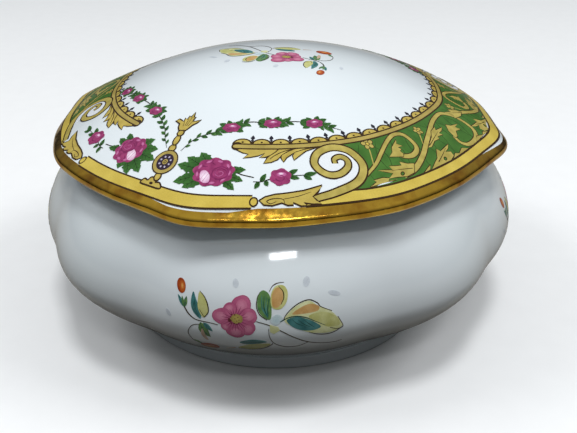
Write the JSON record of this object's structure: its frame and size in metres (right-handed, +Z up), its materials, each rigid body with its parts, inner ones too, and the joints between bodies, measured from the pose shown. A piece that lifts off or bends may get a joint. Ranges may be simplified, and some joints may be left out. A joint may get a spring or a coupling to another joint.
{
  "type": "porcelain trinket box",
  "caption": "Low round porcelain box with a lobed bowl on a foot ring and a domed lift-off lid with a shaped, gilded edge and printed flowers.",
  "frame": {"origin": "centre of the foot, on the surface the box stands on", "axes": "+Z up along the axis of the bowl, -Y towards the front, where the bowl's flower spray is"},
  "size_m": [0.102, 0.102, 0.055],
  "materials": {
    "bowl_porcelain": "clear glossy glaze over bluish-white porcelain, printed flowers under a second firing",
    "lid_porcelain": "clear glossy glaze over bluish-white porcelain, printed roses, gold lace and green panels",
    "gilding": "burnished bright gold, fired on"
  },
  "bodies": {
    "bowl": {"bowl": "bowl_porcelain"},
    "lid": {"lid": "lid_porcelain", "rim_gilding": "gilding"}
  },
  "joints": [
    {"name": "lid_lift", "type": "slide", "parent": "bowl", "child": "lid", "axis": [0, 0, 1], "range_m": [0, 0.06]}
  ]
}
